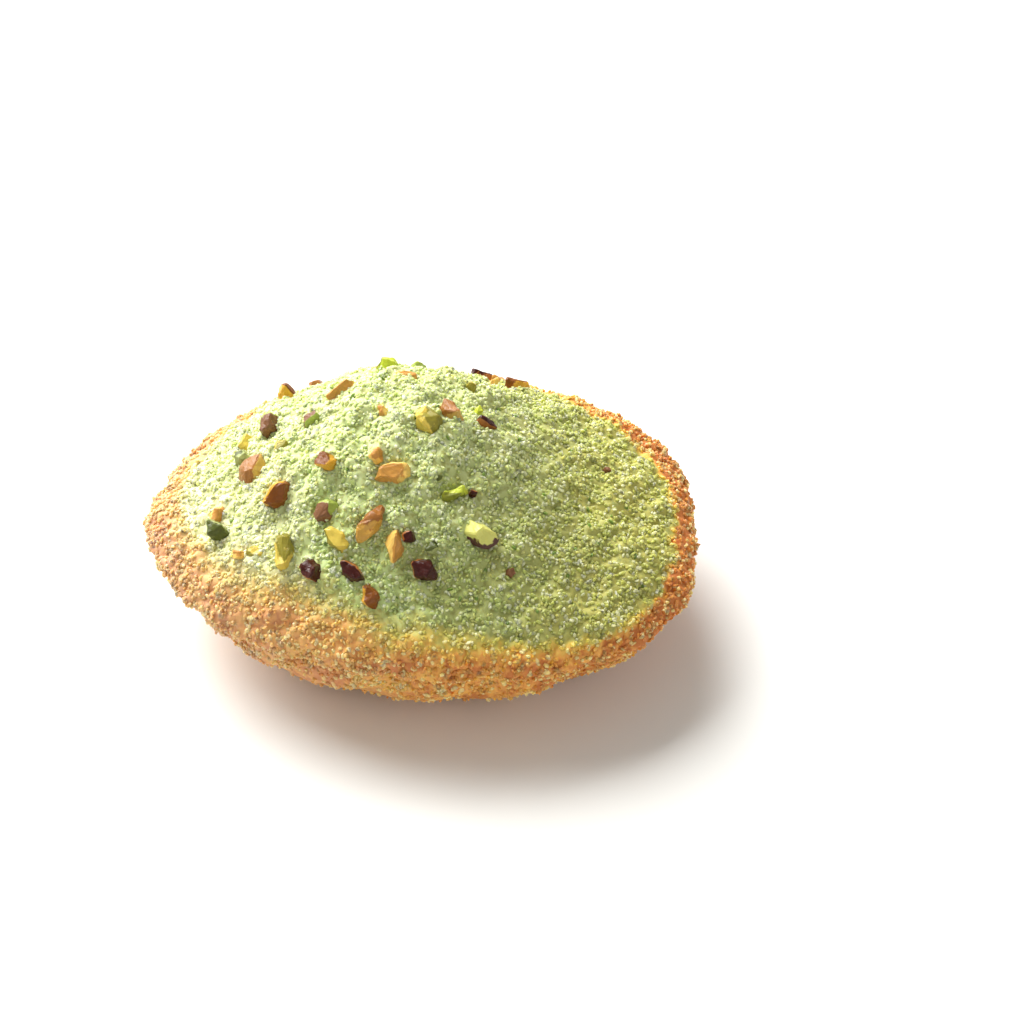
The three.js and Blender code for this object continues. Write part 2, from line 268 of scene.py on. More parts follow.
# How the bake coloured it, from 0 on the pale crumb to 1 on the crust. Each direction round the rim
# adds to how far the full brown reaches and to how far it fades out: the front left fades slowest.
BROWN_REACH = 1.0
BROWN_FADE = 1.8
BROWN_LOBES = (
    {"towards": math.radians(-137), "spread": math.radians(28), "reach": 0.0, "fade": 11.0},
    {"towards": math.radians(-88), "spread": math.radians(36), "reach": 0.0, "fade": 6.8},
    {"towards": math.radians(-8), "spread": math.radians(26), "reach": 2.5, "fade": 0.0},
    {"towards": math.radians(36), "spread": math.radians(26), "reach": 5.8, "fade": 0.0},
    {"towards": math.radians(100), "spread": math.radians(30), "reach": 1.5, "fade": 1.5},
    {"towards": math.radians(148), "spread": math.radians(20), "reach": 4.0, "fade": 1.0},
    {"towards": math.radians(180), "spread": math.radians(24), "reach": 2.2, "fade": 1.6},
)
RAGGED = 0.16
RAGGED_COARSE, RAGGED_FINE = 2.1, 5.3
RAGGED_FINE_SHARE = 0.7
LIP_SPREAD = 0.7
HOLLOW_FROM, HOLLOW_TO = 0.2, 1.1
HOLLOW_SHARE = 2.4
HOLLOW_SPREAD = 2.2
SCALLOP_SPREAD = 1.2
WALL_CRUMB_FROM, WALL_CRUMB_TO = 2, 9
UNDERSIDE_CRUMB, WALL_CRUMB = 0.2, 0.9
CLEAR_OF_FLOOR = (0.8, 2.4)
is_crown = np.arange(len(points)) < side * side
out_all = np.concatenate([crown_out.ravel(), bowl_out.ravel()[~on_rim]])
x, y, z = points.T
around = np.arctan2(y, x)
brown_reach, brown_fade = np.full(len(points), BROWN_REACH), np.full(len(points), BROWN_FADE)
for lobe in BROWN_LOBES:
    off = np.angle(np.exp(1j * (around - lobe["towards"])))
    near = np.exp(-((off / lobe["spread"]) ** 2))
    brown_reach += lobe["reach"] * near
    brown_fade += lobe["fade"] * near
from_rim = np.hypot(np.hypot(x, y) * (1 / np.maximum(out_all, TINY) - 1), z - RIM_HEIGHT)
coarse = lumps(RAGGED_COARSE * x, RAGGED_COARSE * y)
fine = lumps(RAGGED_FINE * y, RAGGED_FINE * x)
ragged = (coarse + RAGGED_FINE_SHARE * fine) / LUMP_HEIGHT
browning = 1 - smooth_step(brown_reach, brown_reach + brown_fade, from_rim + RAGGED * ragged)
crust = np.where(is_crown, browning, 1.0)
near_rim = np.exp(-from_rim / SCALLOP_SPREAD)
shell_side = np.where(is_crown, RIM_SCALLOP * near_rim, 1 - (1 - RIM_SCALLOP) * near_rim)
# The rim stands out as a lip, with a shallow hollow under it on the wall.
hollow_in = HOLLOW_SHARE * smooth_step(HOLLOW_FROM, HOLLOW_TO, from_rim)
lip = np.where(
    is_crown,
    np.exp(-from_rim / LIP_SPREAD),
    (1 - hollow_in) * np.exp(-from_rim / HOLLOW_SPREAD),
)
# Grains sit thick on the crown and thin out down the wall, and none reach the floor.
wall_crumb = 1 - smooth_step(WALL_CRUMB_FROM, WALL_CRUMB_TO, from_rim)
crumbly = np.where(is_crown, 1.0, UNDERSIDE_CRUMB + (WALL_CRUMB - UNDERSIDE_CRUMB) * wall_crumb)
crumbly = crumbly * smooth_step(*CLEAR_OF_FLOOR, z)


def mesh_object(name, vertices, polygons):
    """A new piece in the scene, with its place in its mesh."""
    mesh = bpy.data.meshes.new(name)
    mesh.from_pydata([tuple(v) for v in vertices], [], [tuple(f) for f in polygons])
    made = bpy.data.objects.new(name, mesh)
    bpy.context.scene.collection.objects.link(made)
    return made


def paint_points(piece, name, values):
    """Gives each vertex of a piece a number that its materials and node trees can read."""
    layer = piece.data.attributes.new(name, "FLOAT", "POINT")
    layer.data.foreach_set("value", np.asarray(values, np.float32))


def named_input(node, key):
    """A node's input: by its number for a key such as _2, and otherwise by its title."""
    return node.inputs[int(key[1:])] if key[1:].isdigit() else node.inputs[key.replace("_", " ")]


class Tree:
    """A node tree with named inputs, built one node at a time."""

    def __init__(self, name, numbers):
        self.group = bpy.data.node_groups.new(name, "GeometryNodeTree")
        sockets = self.group.interface
        sockets.new_socket("Geometry", in_out="INPUT", socket_type="NodeSocketGeometry")
        sockets.new_socket("Geometry", in_out="OUTPUT", socket_type="NodeSocketGeometry")
        for title, value in numbers.items():
            kind = "NodeSocketInt" if isinstance(value, int) else "NodeSocketFloat"
            sockets.new_socket(title, in_out="INPUT", socket_type=kind).default_value = value
        sockets.new_socket("Material", in_out="INPUT", socket_type="NodeSocketMaterial")
        self.numbers = numbers
        self.given = self.group.nodes.new("NodeGroupInput").outputs
        self.result = self.group.nodes.new("NodeGroupOutput").inputs["Geometry"]

    def node(self, kind, settings=(), **inputs):
        """A node with its settings, and its inputs as numbers or as other nodes' sockets."""
        made = self.group.nodes.new(kind)
        for key, value in dict(settings).items():
            setattr(made, key, value)
        for key, value in inputs.items():
            socket = named_input(made, key)
            if isinstance(value, bpy.types.NodeSocket):
                self.group.links.new(value, socket)
            else:
                socket.default_value = value
        return made

    def math(self, operation, a, b=0.0):
        return self.node("ShaderNodeMath", {"operation": operation}, _0=a, _1=b).outputs[0]

    def end(self, geometry):
        """Makes the instances real and gives them the material."""
        real = self.node("GeometryNodeRealizeInstances", Geometry=geometry).outputs[0]
        last = self.node("GeometryNodeSetMaterial", Geometry=real, Material=self.given["Material"])
        self.group.links.new(last.outputs[0], self.result)

    def applied(self, piece, material):
        """The tree's result on a piece, as the piece's own plain mesh."""
        modifier = piece.modifiers.new(self.group.name, "NODES")
        modifier.node_group = self.group
        for item in self.group.interface.items_tree:
            if item.in_out == "INPUT" and item.name in self.numbers:
                modifier[item.identifier] = self.numbers[item.name]
            if item.in_out == "INPUT" and item.name == "Material":
                modifier[item.identifier] = material
        seen = piece.evaluated_get(bpy.context.evaluated_depsgraph_get())
        mesh = bpy.data.meshes.new_from_object(seen)
        piece.modifiers.clear()
        piece.data = mesh


# The relief, in millimetres: the lip, the pebbles of the crumb and the clumps that they gather in.
LIP_HEIGHT = 0.45
PEBBLE_SIZE = 1.35
PEBBLE_DEPTH = 0.32
PEBBLE_LEVEL = 0.35
CLUMP_SIZE = 3.0
CLUMP_DEPTH = 1.1
CLUMP_DETAIL = 3.0


def ribs_and_pebbles():
    """Presses the fan of grooves into the shell side and gives the crumb its pebbly relief."""
    tree = Tree("ribs_and_pebbles", {
        "Tip X": TIP,
        "Rib Pitch": math.radians(RIB_PITCH),
        "Ribbed Angle": math.radians(RIB_PITCH * RIB_COUNT_EACH_SIDE),
        "Groove Depth": GROOVE_DEPTH * mm,
        "Groove Start": GROOVE_START * mm,
        "Groove Full": GROOVE_FULL * mm,
        "Lip Height": LIP_HEIGHT * mm,
        "Pebble Size": PEBBLE_SIZE * mm,
        "Pebble Depth": PEBBLE_DEPTH * mm,
        "Clump Size": CLUMP_SIZE * mm,
        "Clump Depth": CLUMP_DEPTH * mm,
    })
    given = tree.given
    place = tree.node("GeometryNodeInputPosition").outputs[0]
    part = tree.node("ShaderNodeSeparateXYZ", Vector=place).outputs
    from_tip = tree.math("SUBTRACT", part["X"], given["Tip X"])
    aside = tree.math("ABSOLUTE", part["Y"])
    angle = tree.math("ARCTAN2", aside, from_tip)
    phase = tree.math("DIVIDE", tree.math("MULTIPLY", angle, math.pi), given["Rib Pitch"])
    hollow = tree.math("SUBTRACT", 1.0, tree.math("ABSOLUTE", tree.math("COSINE", phase)))
    squares = tree.math("ADD", tree.math("POWER", from_tip, 2.0), tree.math("POWER", aside, 2.0))
    away = tree.math("SQRT", squares)
    smooth = {"interpolation_type": "SMOOTHSTEP"}
    started = tree.node(
        "ShaderNodeMapRange", smooth,
        Value=away, From_Min=given["Groove Start"], From_Max=given["Groove Full"],
    ).outputs[0]
    last_rib = tree.math("SUBTRACT", given["Ribbed Angle"], given["Rib Pitch"])
    within = tree.node(
        "ShaderNodeMapRange", smooth,
        Value=angle, From_Min=last_rib, From_Max=given["Ribbed Angle"], To_Min=1.0, To_Max=0.0,
    ).outputs[0]
    shell = tree.node("GeometryNodeInputNamedAttribute", Name="shell_side").outputs[0]
    opened = tree.math("MULTIPLY", hollow, started)
    depth = tree.math("MULTIPLY", opened, tree.math("MULTIPLY", within, shell))
    grooved = tree.math("MULTIPLY", depth, tree.math("MULTIPLY", given["Groove Depth"], -1.0))
    lip = tree.node("GeometryNodeInputNamedAttribute", Name="lip").outputs[0]
    inward = tree.math("ADD", grooved, tree.math("MULTIPLY", lip, given["Lip Height"]))
    normal = tree.node("GeometryNodeInputNormal").outputs[0]
    scale = {"operation": "SCALE"}
    push = tree.node("ShaderNodeVectorMath", scale, Vector=normal, Scale=inward).outputs[0]
    ribbed = tree.node("GeometryNodeSetPosition", Geometry=given["Geometry"], Offset=push).outputs[0]

    per_pebble = tree.math("DIVIDE", 1.0, given["Pebble Size"])
    cells = tree.node("ShaderNodeTexVoronoi", Vector=place, Scale=per_pebble).outputs["Distance"]
    round_top = tree.math("SUBTRACT", PEBBLE_LEVEL, tree.math("POWER", cells, 2.0))
    pebbles = tree.math("MULTIPLY", round_top, tree.math("MULTIPLY", given["Pebble Depth"], 2.0))
    per_clump = tree.math("DIVIDE", 1.0, given["Clump Size"])
    cloud = tree.node("ShaderNodeTexNoise", Vector=place, Scale=per_clump, Detail=CLUMP_DETAIL)
    swell = tree.math("SUBTRACT", cloud.outputs[0], 0.5)
    clumps = tree.math("MULTIPLY", swell, tree.math("MULTIPLY", given["Clump Depth"], 2.0))
    crumbly = tree.node("GeometryNodeInputNamedAttribute", Name="crumbly").outputs[0]
    bumps = tree.math("MULTIPLY", tree.math("ADD", pebbles, clumps), crumbly)
    lift = tree.node("ShaderNodeVectorMath", scale, Vector=normal, Scale=bumps).outputs[0]
    tree.end(tree.node("GeometryNodeSetPosition", Geometry=ribbed, Offset=lift).outputs[0])
    return tree


def rgb(red, green, blue):
    """A colour given as it looks on screen, from 0 to 255."""
    return tuple((c / 255) ** 2.2 for c in (red, green, blue)) + (1.0,)


class Finish:
    """A procedural material with one surface shader."""

    def __init__(self, name):
        self.material = bpy.data.materials.new(name)
        self.material.use_nodes = True
        self.tree = self.material.node_tree
        self.shader = self.tree.nodes["Principled BSDF"]

    def node(self, kind, settings=(), **inputs):
        """A node with its settings, and its inputs as numbers or as other nodes' sockets."""
        made = self.tree.nodes.new(kind)
        for key, value in dict(settings).items():
            setattr(made, key, value)
        for key, value in inputs.items():
            self.set(named_input(made, key), value)
        return made

    def set(self, socket, value):
        if isinstance(value, bpy.types.NodeSocket):
            self.tree.links.new(value, socket)
        else:
            socket.default_value = value

    def ramp(self, share, *stops):
        """A colour band, from stops that are each a position and a colour."""
        made = self.node("ShaderNodeValToRGB", Fac=share)
        band = made.color_ramp
        while len(band.elements) < len(stops):
            band.elements.new(0.5)
        for element, (position, colour) in zip(band.elements, stops):
            element.position = position
            element.color = colour
        return made.outputs[0]

    def mix(self, share, a, b, blend="MIX"):
        settings = {"data_type": "RGBA", "blend_type": blend}
        return self.node("ShaderNodeMix", settings, _0=share, _6=a, _7=b).outputs[2]

    def rising(self, value, start, end, low=0.0, high=1.0, clamp=True):
        """A number that goes from low to high as a value goes from a start to an end."""
        return self.node(
            "ShaderNodeMapRange", {"clamp": clamp},
            Value=value, From_Min=start, From_Max=end, To_Min=low, To_Max=high,
        ).outputs[0]

    def attribute(self, name):
        return self.node("ShaderNodeAttribute", {"attribute_name": name}).outputs["Fac"]

    def soften(self, weight, scale, radius):
        """Lets light into the surface, by a weight and how deep each colour goes."""
        self.shader.inputs["Subsurface Weight"].default_value = weight
        self.shader.inputs["Subsurface Radius"].default_value = radius
        self.shader.inputs["Subsurface Scale"].default_value = scale

    def math(self, operation, a, b=0.0, c=0.0):
        return self.node("ShaderNodeMath", {"operation": operation}, _0=a, _1=b, _2=c).outputs[0]

    def place(self, axis):
        """How far along an axis, in metres, a point of the cake lies."""
        where = self.node("ShaderNodeTexCoord").outputs["Object"]
        return self.node("ShaderNodeSeparateXYZ", Vector=where).outputs[axis]

    def noise(self, size, detail=2.0):
        """A cloudy pattern from 0 to 1, with patches of about the given size."""
        place = self.node("ShaderNodeTexCoord").outputs["Object"]
        return self.node("ShaderNodeTexNoise", Vector=place, Scale=1 / size, Detail=detail).outputs[0]

    def bump(self, height, distance, strength):
        """Fine relief on the surface, too small for the mesh."""
        made = self.node("ShaderNodeBump", Height=height, Distance=distance, Strength=strength)
        self.set(self.shader.inputs["Normal"], made.outputs[0])


# The crumb from the pointed end to the broad one, with painted light and shade: it is painted palest
# at the lit pointed end and on the crest, is coolest on the flank of the hump, and is painted darker
# and yellowest beyond it, on the side away from the light.
CRUMB_ENDS = (-38 * mm, 38 * mm)
CRUMB_DRIFT = 0.5
CRUMB_DRIFT_SIZE = 8 * mm
# Painted light along the cake: palest at the lit pointed end, darker olive towards the broad end,
# which lies in shade.
CRUMB_ALONG_WITH_PAINTED_LIGHT = (
    (0.08, rgb(244, 240, 190)),
    (0.34, rgb(194, 212, 138)),
    (0.62, rgb(170, 176, 106)),
    (0.9, rgb(180, 174, 90)),
)
# Painted light: the crumb is painted paler up on the crest of the hump, where the light from behind
# falls.
CREST_PAINTED_LIGHT = rgb(220, 226, 172)
CREST_LIGHT_ENDS = (24 * mm, 38 * mm)
CREST_LIGHT_SHARE = 0.5
# The deep green of the painted shade in the pits between the pebbles.
CRUMB_PIT_SHADE = rgb(158, 160, 90)
CRUST_COLOURS = (rgb(222, 200, 96), rgb(236, 172, 84), rgb(200, 120, 60))
CRUST_STOPS = (0.3, 0.7, 1.0)
CRUST_BEGINS = (0.04, 0.36)
CRUST_AT_POINT = rgb(214, 176, 146)
POINT_SHARE = 0.5
POINT_ENDS = (4 * mm, -36 * mm)


def crumb_colour_with_painted_light(finish):
    """The pale crumb's colour by its place on the cake, with a slow drift, and painted light: paler at
    the lit pointed end and crest, darker towards the broad end.
    """
    along = finish.rising(finish.place("X"), *CRUMB_ENDS, clamp=False)
    clouds = finish.noise(CRUMB_DRIFT_SIZE)
    drift = finish.math("MULTIPLY_ADD", clouds, CRUMB_DRIFT, -CRUMB_DRIFT / 2)
    # The ramp along the cake is partly painted light and shade.
    pale = finish.ramp(finish.math("ADD", along, drift), *CRUMB_ALONG_WITH_PAINTED_LIGHT)
    # Painted light on the crest, rising with height.
    height = finish.rising(finish.place("Z"), *CREST_LIGHT_ENDS, high=CREST_LIGHT_SHARE)
    return finish.mix(height, pale, CREST_PAINTED_LIGHT)


def bake_colours(finish, share, pale, browned):
    """The crumb's colour, painted light included, browned by a share from 0 to 1 through gold and
    orange to brown.
    """
    crusted = finish.ramp(share, *zip(CRUST_STOPS, browned))
    pointed = finish.rising(finish.place("X"), *POINT_ENDS, high=POINT_SHARE)
    begun = finish.rising(share, *CRUST_BEGINS)
    return finish.mix(begun, pale, finish.mix(pointed, crusted, CRUST_AT_POINT))


# How patchy the browning is: how brown the crust is on the whole, how much browner it is painted at
# the broad end as painted shade on the side away from the light, and how far patches and specks
# change that on the crust and on the crumb.
CRUST_EVEN = 0.84
CRUST_SHADE_AT_BROAD_END = 1.08
SHADED_BROAD_END = (12 * mm, 38 * mm)
CRUST_PATCHY = 1.5
CRUMB_PATCHY = 0.3
PATCH_SIZE = 4.5 * mm
SPECK_SIZE = 0.9 * mm


def patchy_crust(finish):
    """The crust's share, with patches a few millimetres wide, specks as fine as the crumb, and painted
    shade that browns the broad end.
    """
    clouds = finish.mix(0.5, finish.noise(PATCH_SIZE), finish.noise(SPECK_SIZE, detail=3.0))
    off = finish.math("SUBTRACT", clouds, 0.5)
    crust = finish.attribute("crust")
    # Painted shade: the crust is painted browner towards the broad end, away from the light.
    even = finish.rising(finish.place("X"), *SHADED_BROAD_END, low=CRUST_EVEN, high=CRUST_SHADE_AT_BROAD_END)
    on_crust = finish.math("MULTIPLY", crust, finish.math("MULTIPLY_ADD", off, CRUST_PATCHY, even))
    return finish.math("ADD", on_crust, finish.math("MULTIPLY", off, CRUMB_PATCHY))


# Painted shade in the pits: a noise pattern of about a millimetre darkens the crumb towards a deep
# green.
PIT_SHADE_SIZE = 1.0 * mm
PIT_SHADE_EDGE = (0.36, 0.5)
PORE_SIZE = 0.22 * mm


def sponge_finish():
    """Matt sponge that lets in a little light, with painted shade in the pits between its pebbles."""
    finish = Finish("sponge")
    # Painted shade in the pits, from the low parts of the noise.
    pit_shade = finish.rising(finish.noise(PIT_SHADE_SIZE, detail=3.0), *PIT_SHADE_EDGE)
    green = finish.mix(pit_shade, CRUMB_PIT_SHADE, crumb_colour_with_painted_light(finish))
    # This colour carries painted light and painted shade as well as the crumb's and the crust's own
    # colours.
    own = bake_colours(finish, patchy_crust(finish), green, CRUST_COLOURS)
    finish.set(finish.shader.inputs["Base Color"], own)
    finish.shader.inputs["Roughness"].default_value = 0.7
    finish.soften(weight=0.45, scale=0.6 * mm, radius=(1.0, 0.8, 0.4))
    finish.bump(finish.noise(PORE_SIZE), distance=0.06 * mm, strength=0.6)
    return finish.material


sponge = mesh_object("sponge", points * mm, faces)
sponge.data.polygons.foreach_set("use_smooth", np.ones(len(faces), bool))
paint_points(sponge, "crust", crust)
paint_points(sponge, "shell_side", shell_side)
paint_points(sponge, "crumbly", crumbly)
paint_points(sponge, "lip", lip)
ribs_and_pebbles().applied(sponge, sponge_finish())
# Nothing of the relief goes below the flat spot that the cake rests on.
coordinates = np.empty(len(sponge.data.vertices) * 3)
sponge.data.vertices.foreach_get("co", coordinates)
coordinates[2::3] = np.maximum(coordinates[2::3], LOWEST)
sponge.data.vertices.foreach_set("co", coordinates)
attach(sponge, "root")
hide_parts("madeleine")

# The loose-grained crumb
# The crown is covered in sharp grains of coarse sugar and batter, as large as couscous and half
# glassy. Pale, green and golden ones are mixed, and they darken with the crust towards the rim.
# Each kind has its seed, its grains' size in millimetres and how many lie on a square millimetre, how
# rough they are, how far they take a tint of their own, and their colours once they are browned.
GRAIN_KINDS = {
    "crumb_pale": {
        "seed": 3, "grain": 0.95, "each": 0.7, "rough": 0.34,
        "tint": rgb(238, 240, 204), "tinted": 0.45,
        "browned": (rgb(238, 220, 140), rgb(248, 218, 142), rgb(240, 196, 126)),
    },
    "crumb_green": {
        "seed": 5, "grain": 1.05, "each": 1.15, "rough": 0.45,
        "tint": rgb(172, 196, 118), "tinted": 0.25,
        "browned": (rgb(212, 194, 88), rgb(232, 170, 82), rgb(204, 130, 66)),
    },
    "crumb_golden": {
        "seed": 8, "grain": 0.8, "each": 0.6, "rough": 0.4,
        "tint": rgb(218, 212, 126), "tinted": 0.4,
        "browned": (rgb(230, 196, 88), rgb(242, 168, 66), rgb(206, 118, 46)),
    },
}
GRAIN_LEAST = (0.55, 0.5, 0.35)
GRAIN_MOST = (1.4, 1.0, 0.75)
GRAIN_SHADES = ((0.86, 0.88, 0.8, 1), (1.08, 1.08, 1.06, 1))
FLECK = rgb(112, 138, 62)
FLECK_SHARE = 0.012


def grain_scatter(name, seed, grain, each):
    """Scatters small faceted grains over the crumb, each turned and sized by chance."""
    tree = Tree(name, {"Seed": seed, "Grain Size": grain * mm, "Grains Per Area": each / mm ** 2})
    given = tree.given
    crumbly = tree.node("GeometryNodeInputNamedAttribute", Name="crumbly").outputs[0]
    density = tree.math("MULTIPLY", crumbly, given["Grains Per Area"])
    spots = tree.node(
        "GeometryNodeDistributePointsOnFaces",
        Mesh=given["Geometry"], Density=density, Seed=given["Seed"],
    ).outputs["Points"]
    tone = tree.node("FunctionNodeRandomValue", {"data_type": "FLOAT"}, Seed=given["Seed"]).outputs[1]
    toned = tree.node(
        "GeometryNodeStoreNamedAttribute", {"data_type": "FLOAT", "domain": "POINT"},
        Geometry=spots, Name="tone", Value=tone,
    ).outputs[0]
    radius = tree.math("MULTIPLY", given["Grain Size"], 0.5)
    grain_shape = tree.node("GeometryNodeMeshIcoSphere", Subdivisions=1, Radius=radius).outputs[0]
    size_seed = tree.math("ADD", given["Seed"], 1.0)
    size = tree.node("FunctionNodeRandomValue", {"data_type": "FLOAT_VECTOR"}, Seed=size_seed)
    size.inputs["Min"].default_value = GRAIN_LEAST
    size.inputs["Max"].default_value = GRAIN_MOST
    turn_seed = tree.math("ADD", given["Seed"], 2.0)
    spin = tree.node("FunctionNodeRandomValue", {"data_type": "FLOAT_VECTOR"}, Seed=turn_seed)
    spin.inputs["Max"].default_value = (TAU, TAU, TAU)
    grains = tree.node(
        "GeometryNodeInstanceOnPoints", Points=toned, Instance=grain_shape,
        Rotation=spin.outputs[0], Scale=size.outputs[0],
    ).outputs[0]
    tree.end(grains)
    return tree


def grain_finish(name, rough, tint, tinted, browned):
    """Grains take the crumb's colour, painted light included, with a tint of their own, and a few are
    ground pistachio.
    """
    finish = Finish(name)
    tone = finish.attribute("tone")
    shade = finish.mix(tone, *GRAIN_SHADES)
    pale = finish.mix(tinted, crumb_colour_with_painted_light(finish), tint)
    # This colour carries painted light and painted shade as well as the crumb's and the crust's own
    # colours.
    own = bake_colours(finish, patchy_crust(finish), pale, browned)
    drawn = finish.math("ADD", tone, finish.attribute("crust"))
    fleck = finish.math("LESS_THAN", drawn, FLECK_SHARE)
    shaded = finish.mix(1.0, own, shade, "MULTIPLY")
    finish.set(finish.shader.inputs["Base Color"], finish.mix(fleck, shaded, FLECK))
    finish.shader.inputs["Roughness"].default_value = rough
    finish.soften(weight=0.7, scale=1.1 * mm, radius=(1.0, 0.95, 0.55))
    finish.bump(finish.noise(0.3 * mm), distance=0.1 * mm, strength=0.5)
    return finish.material


for name, kind in GRAIN_KINDS.items():
    grains = bpy.data.objects.new(name, sponge.data.copy())
    bpy.context.scene.collection.objects.link(grains)
    scatter = grain_scatter(name, kind["seed"], kind["grain"], kind["each"])
    material = grain_finish(name, kind["rough"], kind["tint"], kind["tinted"], kind["browned"])
    scatter.applied(grains, material)
    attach(grains, "root")
    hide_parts("madeleine")

# The chopped pistachios
# Roasted pistachios, broken with a knife and strewn on the batter, so that they are baked half into
# the crumb. Each is an uneven block with a skin side, from tan to nearly black, and cut faces that are
# yellow, amber or green.
# Each nut is [kind, x, y, length, width, turn seen from above, height out of the crumb], in
# millimetres and degrees.
NUTS = [
    ["amber", -29.5, -4.0, 2.8, 1.8, 55, 1.2],
    ["moss", -29.5, -6.5, 3.9, 2.6, -60, 1.8],
    ["amber", -26.5, -11.5, 1.9, 1.5, 20, 1.0],
    ["moss", -26.0, 4.0, 2.8, 1.7, 75, 1.3],
    ["yellow", -25.5, 7.5, 2.8, 0.8, 55, 1.0],
    ["tan", -24.5, 1.0, 4.4, 3.2, 40, 1.8],
    ["yellow", -24.0, -12.0, 3.0, 1.8, 0, 0.5],
    ["mauve", -22.0, 9.0, 3.2, 2.6, 60, 2.0],
    ["brown", -21.0, -5.0, 4.2, 3.1, 50, 2.2],
    ["yellow", -20.5, 3.0, 2.4, 1.8, 20, 0.4],
    ["yellow", -20.0, -13.0, 5.4, 2.6, 80, 1.9],
    ["brown", -19.5, 17.0, 2.6, 2.2, 0, 2.0],
    ["dark", -16.0, -16.0, 3.7, 2.5, -65, 2.0],
    ["mauve", -16.0, 5.0, 3.2, 1.7, 30, 1.1],
    ["brown", -14.0, -4.0, 3.0, 2.4, -40, 1.9],
    ["mauve", -14.0, -9.5, 3.6, 2.8, 35, 1.6],
    ["yellow", -12.5, -13.5, 4.0, 2.5, -60, 1.7],
    ["amber", -12.0, 9.5, 4.2, 1.3, 35, 1.2],
    ["dark", -10.5, -17.5, 3.9, 2.3, -50, 1.7],
    ["golden", -8.0, -12.5, 5.6, 2.6, 55, 2.2],
    ["brown", -8.0, -20.5, 3.4, 2.5, -60, 1.1],
    ["amber", -7.0, -4.5, 2.1, 1.7, -70, 1.1],
    ["amber", -6.0, 3.0, 1.8, 1.1, 90, 1.0],
    ["green", -5.0, 17.5, 3.0, 1.5, 0, 1.4],
    ["amber", -4.5, -6.5, 4.8, 3.0, 10, 1.5],
    ["amber", -4.5, -15.0, 4.4, 2.4, 95, 1.9],
    ["dark", -2.5, -14.0, 2.0, 1.6, 30, 1.2],
    ["amber", -2.5, 12.5, 3.5, 1.4, 0, 0.9],
    ["dark", 0.0, -17.5, 3.5, 3.1, -35, 2.2],
    ["yellow", 0.5, 1.0, 4.7, 3.4, -60, 1.9],
    ["moss", 1.0, -15.0, 1.9, 1.7, 0, 1.0],
    ["moss", 1.5, -7.0, 1.3, 1.2, 0, 0.4],
    ["tan", 3.5, 2.5, 3.8, 2.2, -40, 1.6],
    ["green", 4.0, -8.5, 3.8, 1.4, 25, 1.2],
    ["dark", 6.5, -8.0, 1.0, 0.9, 0, 1.0],
    ["yellow", 7.0, 12.0, 1.4, 0.9, -30, 0.7],
    ["split", 7.5, -13.0, 4.8, 3.0, -30, 2.2],
    ["green", 7.5, 5.0, 1.4, 1.2, 0, 0.6],
    ["dark", 8.5, 3.0, 3.4, 1.3, 0, 1.0],
    ["amber", 10.5, 19.0, 1.6, 1.2, 20, 1.2],
    ["mauve", 12.0, -16.5, 1.9, 1.3, 80, 0.5],
    ["brown", 14.5, 22.0, 4.2, 1.8, 0, 1.3],
    ["mauve", 27.0, 5.0, 1.2, 1.1, 0, 0.6],
]
FAR_NUTS = 8
FAR_ALONG = (-18, 14)
FAR_OUT = (0.88, 0.95)
FAR_LENGTH = (2.2, 4.4)
FAR_WIDTH = (1.4, 2.8)
FAR_HEIGHT = (0.6, 1.3)
FAR_SEED = {"along": 21, "out": 22, "length": 23, "width": 24, "turn": 25, "height": 26}
FAR_KINDS = ("tan", "yellow", "brown", "amber", "mauve", "green", "dark", "amber")
NUT_CORNERS = 6
NUT_SPREAD = 1.35
NUT_UNEVEN = 0.22
NUT_TWIST = 0.75
NUT_TOP = 0.78
NUT_TOP_DROP = 0.55
NUT_SINK = 0.7
NUT_LIFT = 0.4
NUT_TILT = math.radians(9)
NUT_SEED = {"spread": 20, "top": 40, "tilt_x": 61, "tilt_y": 62}
NUT_FLAT = math.radians(4)
NUT_EDGE = 0.06
NUT_WAVES = 0.8
NUT_CHIPS_RATIO = 2.3
NUT_CHIPS_SHARE = 0.5
NUT_ROUGH = 0.28
NUT_SKIN_TURN = 7.0
NUT_SKIN_FIRST = 5.3
SKIN_GRAIN = 0.7
SKIN_EDGE, SKIN_EDGE_WIDTH = 1.2, 0.1
SKIN_EDGE_PER_SHARE = 1.5
SKIN_DARKEST, CUT_DARKEST = 0.6, 0.75
SLOPE_STEP = 0.05

# Each kind's skin, its cut faces, the share of the nut that the skin covers, and how far the skin
# side looks up.
NUT_KINDS = {
    "amber": {"skin": rgb(212, 152, 74), "cut": rgb(246, 202, 106), "covered": 0.3, "up": 0.9},
    "yellow": {"skin": rgb(150, 140, 52), "cut": rgb(222, 196, 86), "covered": 0.45, "up": 0.2},
    "golden": {"skin": rgb(162, 104, 50), "cut": rgb(210, 160, 74), "covered": 0.45, "up": 0.0},
    "split": {"skin": rgb(92, 58, 50), "cut": rgb(224, 222, 120), "covered": 0.62, "up": -0.2},
    "green": {"skin": rgb(138, 142, 48), "cut": rgb(200, 212, 70), "covered": 0.3, "up": 0.2},
    "moss": {"skin": rgb(88, 96, 40), "cut": rgb(164, 172, 104), "covered": 0.5, "up": 0.4},
    "tan": {"skin": rgb(168, 112, 54), "cut": rgb(206, 166, 86), "covered": 0.6, "up": 0.8},
    "brown": {"skin": rgb(136, 78, 26), "cut": rgb(222, 166, 58), "covered": 0.5, "up": 0.5},
    "mauve": {"skin": rgb(134, 92, 62), "cut": rgb(166, 182, 86), "covered": 0.5, "up": 0.5},
    "dark": {"skin": rgb(70, 24, 16), "cut": rgb(176, 112, 58), "covered": 0.66, "up": 0.6},
}


